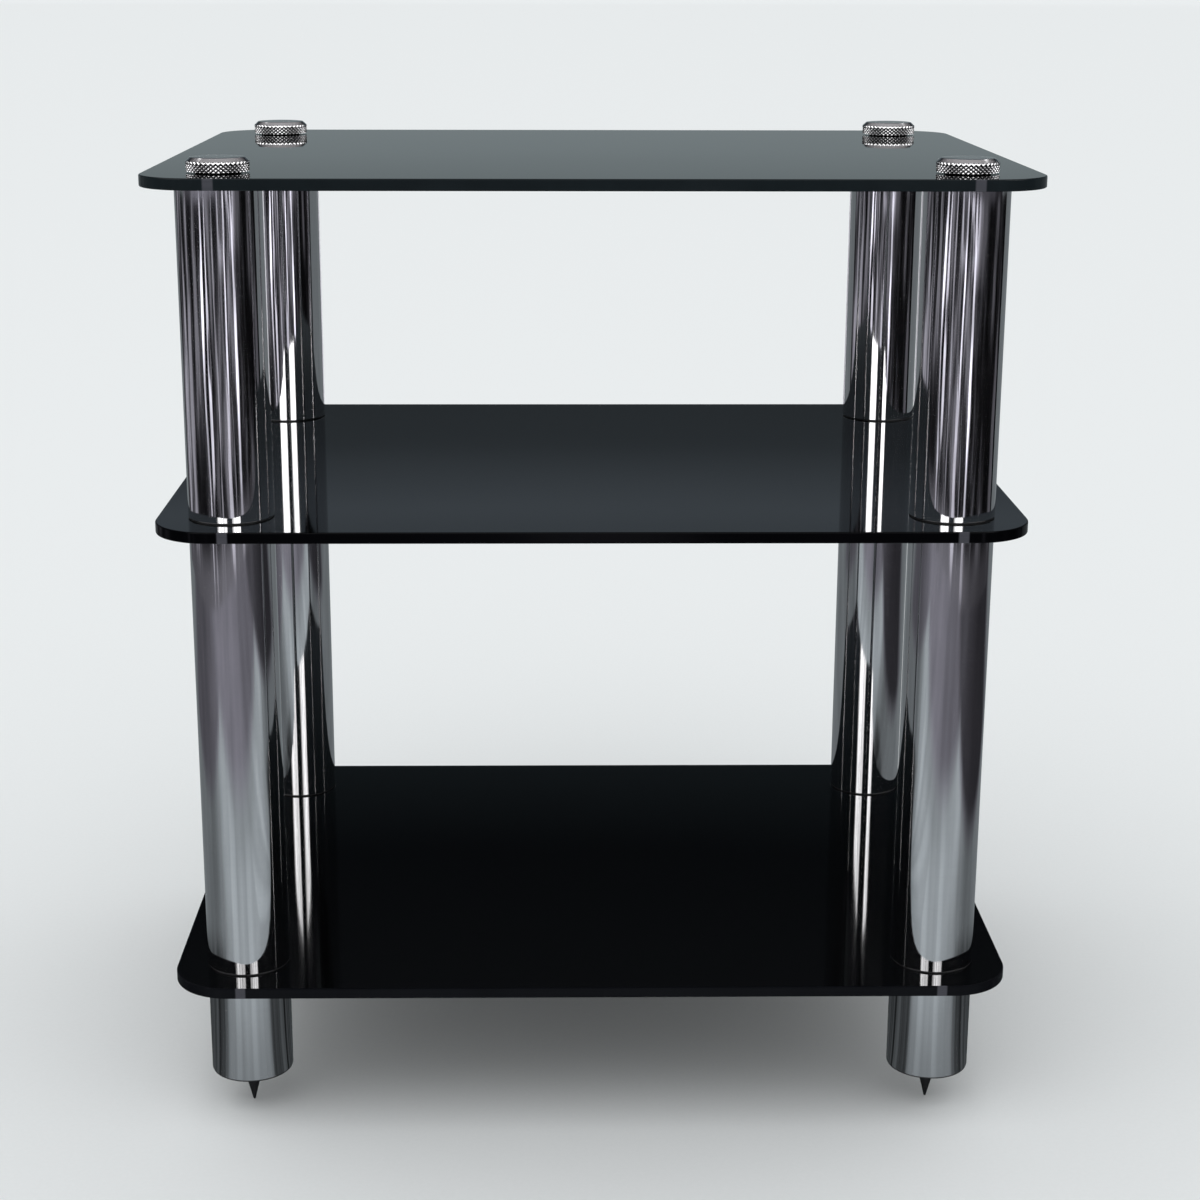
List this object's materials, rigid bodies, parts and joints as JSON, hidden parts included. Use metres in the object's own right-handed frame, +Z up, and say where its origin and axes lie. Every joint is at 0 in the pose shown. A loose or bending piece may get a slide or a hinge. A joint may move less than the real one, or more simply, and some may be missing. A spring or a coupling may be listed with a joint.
{
  "type": "audio equipment rack",
  "caption": "Audio equipment rack with smoked glass shelves on chromed tube columns, knurled caps above and levelling spikes below.",
  "frame": {"origin": "on the floor at the spike tips, under the middle of the shelves", "axes": "+X to the right of the rack seen from the front, +Y to its back, +Z up; front and back are alike"},
  "size_m": [0.61, 0.478, 0.7002],
  "materials": {
    "smoked_glass": "polished, smoked",
    "chrome_tube": "polished chrome, fine drawn lines",
    "knurled_chrome": "diamond knurled chrome",
    "black_plastic": "moulded, matt",
    "black_rubber": "matt",
    "zinc_steel": "zinc plated",
    "black_steel": "black oxide, satin"
  },
  "bodies": {
    "rack": {"shelf_bottom": "smoked_glass", "shelf_middle": "smoked_glass", "shelf_top": "smoked_glass", "lock_nut_front_left": "zinc_steel", "tie_rod_front_left": "zinc_steel", "leg_plug_bottom_front_left": "black_plastic", "leg_plug_top_front_left": "black_plastic", "lower_plug_bottom_front_left": "black_plastic", "lower_plug_top_front_left": "black_plastic", "upper_plug_bottom_front_left": "black_plastic", "upper_plug_top_front_left": "black_plastic", "leg_tube_front_left": "chrome_tube", "lower_tube_front_left": "chrome_tube", "upper_tube_front_left": "chrome_tube", "lock_nut_front_right": "zinc_steel", "tie_rod_front_right": "zinc_steel", "leg_plug_bottom_front_right": "black_plastic", "leg_plug_top_front_right": "black_plastic", "lower_plug_bottom_front_right": "black_plastic", "lower_plug_top_front_right": "black_plastic", "upper_plug_bottom_front_right": "black_plastic", "upper_plug_top_front_right": "black_plastic", "leg_tube_front_right": "chrome_tube", "lower_tube_front_right": "chrome_tube", "upper_tube_front_right": "chrome_tube", "lock_nut_rear_left": "zinc_steel", "tie_rod_rear_left": "zinc_steel", "leg_plug_bottom_rear_left": "black_plastic", "leg_plug_top_rear_left": "black_plastic", "lower_plug_bottom_rear_left": "black_plastic", "lower_plug_top_rear_left": "black_plastic", "upper_plug_bottom_rear_left": "black_plastic", "upper_plug_top_rear_left": "black_plastic", "leg_tube_rear_left": "chrome_tube", "lower_tube_rear_left": "chrome_tube", "upper_tube_rear_left": "chrome_tube", "lock_nut_rear_right": "zinc_steel", "tie_rod_rear_right": "zinc_steel", "leg_plug_bottom_rear_right": "black_plastic", "leg_plug_top_rear_right": "black_plastic", "lower_plug_bottom_rear_right": "black_plastic", "lower_plug_top_rear_right": "black_plastic", "upper_plug_bottom_rear_right": "black_plastic", "upper_plug_top_rear_right": "black_plastic", "leg_tube_rear_right": "chrome_tube", "lower_tube_rear_right": "chrome_tube", "upper_tube_rear_right": "chrome_tube"},
    "cap_lifter_front_left": {"cap_washer_front_left": "black_rubber"},
    "cap_front_left": {"cap_front_left": "knurled_chrome"},
    "spike_front_left": {"spike_front_left": "black_steel"},
    "cap_lifter_front_right": {"cap_washer_front_right": "black_rubber"},
    "cap_front_right": {"cap_front_right": "knurled_chrome"},
    "spike_front_right": {"spike_front_right": "black_steel"},
    "cap_lifter_rear_left": {"cap_washer_rear_left": "black_rubber"},
    "cap_rear_left": {"cap_rear_left": "knurled_chrome"},
    "spike_rear_left": {"spike_rear_left": "black_steel"},
    "cap_lifter_rear_right": {"cap_washer_rear_right": "black_rubber"},
    "cap_rear_right": {"cap_rear_right": "knurled_chrome"},
    "spike_rear_right": {"spike_rear_right": "black_steel"}
  },
  "joints": [
    {"name": "cap_lift_front_left", "type": "slide", "parent": "rack", "child": "cap_lifter_front_left", "axis": [0, 0, 1], "range_m": [0, 0.006]},
    {"name": "cap_turn_front_left", "type": "hinge", "parent": "cap_lifter_front_left", "child": "cap_front_left", "pos_m": [-0.2535, -0.1875, 0.691], "axis": [0, 0, 1], "range_deg": [0, 2160]},
    {"name": "spike_level_front_left", "type": "slide", "parent": "rack", "child": "spike_front_left", "axis": [0, 0, -1], "range_m": [0, 0.008]},
    {"name": "cap_lift_front_right", "type": "slide", "parent": "rack", "child": "cap_lifter_front_right", "axis": [0, 0, 1], "range_m": [0, 0.006]},
    {"name": "cap_turn_front_right", "type": "hinge", "parent": "cap_lifter_front_right", "child": "cap_front_right", "pos_m": [0.2535, -0.1875, 0.691], "axis": [0, 0, 1], "range_deg": [0, 2160]},
    {"name": "spike_level_front_right", "type": "slide", "parent": "rack", "child": "spike_front_right", "axis": [0, 0, -1], "range_m": [0, 0.008]},
    {"name": "cap_lift_rear_left", "type": "slide", "parent": "rack", "child": "cap_lifter_rear_left", "axis": [0, 0, 1], "range_m": [0, 0.006]},
    {"name": "cap_turn_rear_left", "type": "hinge", "parent": "cap_lifter_rear_left", "child": "cap_rear_left", "pos_m": [-0.2535, 0.1875, 0.691], "axis": [0, 0, 1], "range_deg": [0, 2160]},
    {"name": "spike_level_rear_left", "type": "slide", "parent": "rack", "child": "spike_rear_left", "axis": [0, 0, -1], "range_m": [0, 0.008]},
    {"name": "cap_lift_rear_right", "type": "slide", "parent": "rack", "child": "cap_lifter_rear_right", "axis": [0, 0, 1], "range_m": [0, 0.006]},
    {"name": "cap_turn_rear_right", "type": "hinge", "parent": "cap_lifter_rear_right", "child": "cap_rear_right", "pos_m": [0.2535, 0.1875, 0.691], "axis": [0, 0, 1], "range_deg": [0, 2160]},
    {"name": "spike_level_rear_right", "type": "slide", "parent": "rack", "child": "spike_rear_right", "axis": [0, 0, -1], "range_m": [0, 0.008]}
  ],
  "couplings": [
    {"joint": "cap_lift_front_left", "follows": "cap_turn_front_left", "m_per_rad": 0.00015915},
    {"joint": "cap_lift_front_right", "follows": "cap_turn_front_right", "m_per_rad": 0.00015915},
    {"joint": "cap_lift_rear_left", "follows": "cap_turn_rear_left", "m_per_rad": 0.00015915},
    {"joint": "cap_lift_rear_right", "follows": "cap_turn_rear_right", "m_per_rad": 0.00015915}
  ]
}
